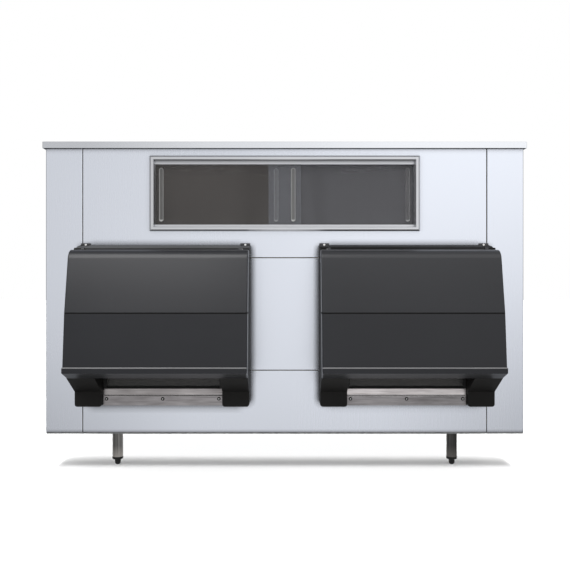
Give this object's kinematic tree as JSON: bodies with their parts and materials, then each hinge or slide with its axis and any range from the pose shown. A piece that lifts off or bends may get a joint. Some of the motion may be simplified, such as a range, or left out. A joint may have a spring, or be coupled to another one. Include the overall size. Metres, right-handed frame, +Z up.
{
  "type": "ice storage bin",
  "caption": "Free-standing insulated ice bin on legs, with lift-up scoop doors, clear ice shields behind them, a sliding level window and a stainless top open for an ice machine.",
  "frame": {"origin": "on the floor, under the middle of the whole object, doors included", "axes": "+Z up, the front with the doors faces -Y, +X to the right seen from the front"},
  "size_m": [1.85, 1.106, 1.27],
  "materials": {
    "panel_steel": "fine brushed stainless steel",
    "cover_steel": "fine brushed stainless steel",
    "sill_steel": "polished stainless steel",
    "galvanised": "galvanised sheet",
    "leg_steel": "satin stainless tube",
    "fastener_steel": "bright stainless",
    "window_aluminium": "satin anodised",
    "pane_clear": "clear acrylic",
    "shield_clear": "clear polycarbonate",
    "door_charcoal": "satin moulded",
    "frame_black": "satin moulded",
    "liner_white": "smooth moulded polyethylene",
    "track_black": "satin extruded",
    "plug_black": "satin moulded",
    "foot_black": "gloss moulded over a steel stem",
    "rubber_black": "matt",
    "drain_plastic": "moulded",
    "foam": "rigid foam, unseen"
  },
  "bodies": {
    "cabinet": {"back_panel": "panel_steel", "back_screws": "fastener_steel", "base_pan": "galvanised", "clip_screws": "fastener_steel", "drain_fitting": "drain_plastic", "drain_nut": "drain_plastic", "drain_strainer": "drain_plastic", "frame_clips": "fastener_steel", "front_center_left_panel": "panel_steel", "front_center_panel": "panel_steel", "front_center_right_panel": "panel_steel", "front_left_leg": "leg_steel", "front_left_leg_plug": "plug_black", "front_lower_panel": "panel_steel", "front_right_leg": "leg_steel", "front_right_leg_plug": "plug_black", "front_upper_panel": "panel_steel", "hinge_pins": "fastener_steel", "insulation": "foam", "left_door_bumpers": "rubber_black", "left_door_frame": "frame_black", "left_shield_tracks": "track_black", "left_side_panel": "panel_steel", "left_sill": "sill_steel", "leg_bolts": "fastener_steel", "liner": "liner_white", "rear_left_leg": "leg_steel", "rear_left_leg_plug": "plug_black", "rear_right_leg": "leg_steel", "rear_right_leg_plug": "plug_black", "right_door_bumpers": "rubber_black", "right_door_frame": "frame_black", "right_shield_tracks": "track_black", "right_side_panel": "panel_steel", "right_sill": "sill_steel", "sill_screws": "fastener_steel", "top_cover": "cover_steel", "window_bottom_rail": "window_aluminium", "window_left_stile": "window_aluminium", "window_right_stile": "window_aluminium", "window_top_rail": "window_aluminium"},
    "left_door": {"left_door_shell": "door_charcoal", "left_door_liner": "frame_black", "left_door_foam": "foam"},
    "right_door": {"right_door_shell": "door_charcoal", "right_door_liner": "frame_black", "right_door_foam": "foam"},
    "left_ice_shield": {"left_ice_shield": "shield_clear", "left_shield_seal": "rubber_black", "left_shield_grip": "track_black"},
    "right_ice_shield": {"right_ice_shield": "shield_clear", "right_shield_seal": "rubber_black", "right_shield_grip": "track_black"},
    "left_window_pane": {"left_window_pane": "pane_clear"},
    "right_window_pane": {"right_window_pane": "pane_clear"},
    "front_left_foot": {"front_left_foot": "foot_black"},
    "front_right_foot": {"front_right_foot": "foot_black"},
    "rear_left_foot": {"rear_left_foot": "foot_black"},
    "rear_right_foot": {"rear_right_foot": "foot_black"}
  },
  "joints": [
    {"name": "left_door_hinge", "type": "hinge", "parent": "cabinet", "child": "left_door", "pos_m": [-0.456, -0.397, 0.8535], "axis": [-1, 0, 0], "range_deg": [0, 155]},
    {"name": "right_door_hinge", "type": "hinge", "parent": "cabinet", "child": "right_door", "pos_m": [0.456, -0.397, 0.8535], "axis": [-1, 0, 0], "range_deg": [0, 155]},
    {"name": "left_ice_shield_lift", "type": "slide", "parent": "cabinet", "child": "left_ice_shield", "axis": [0, 0, 1], "range_m": [0, 0.18]},
    {"name": "right_ice_shield_lift", "type": "slide", "parent": "cabinet", "child": "right_ice_shield", "axis": [0, 0, 1], "range_m": [0, 0.18]},
    {"name": "left_pane_slide", "type": "slide", "parent": "cabinet", "child": "left_window_pane", "axis": [1, 0, 0], "range_m": [0, 0.44]},
    {"name": "right_pane_slide", "type": "slide", "parent": "cabinet", "child": "right_window_pane", "axis": [-1, 0, 0], "range_m": [0, 0.44]},
    {"name": "front_left_foot_screw", "type": "slide", "parent": "cabinet", "child": "front_left_foot", "axis": [0, 0, 1], "range_m": [-0.02, 0]},
    {"name": "front_right_foot_screw", "type": "slide", "parent": "cabinet", "child": "front_right_foot", "axis": [0, 0, 1], "range_m": [-0.02, 0]},
    {"name": "rear_left_foot_screw", "type": "slide", "parent": "cabinet", "child": "rear_left_foot", "axis": [0, 0, 1], "range_m": [-0.02, 0]},
    {"name": "rear_right_foot_screw", "type": "slide", "parent": "cabinet", "child": "rear_right_foot", "axis": [0, 0, 1], "range_m": [-0.02, 0]}
  ]
}
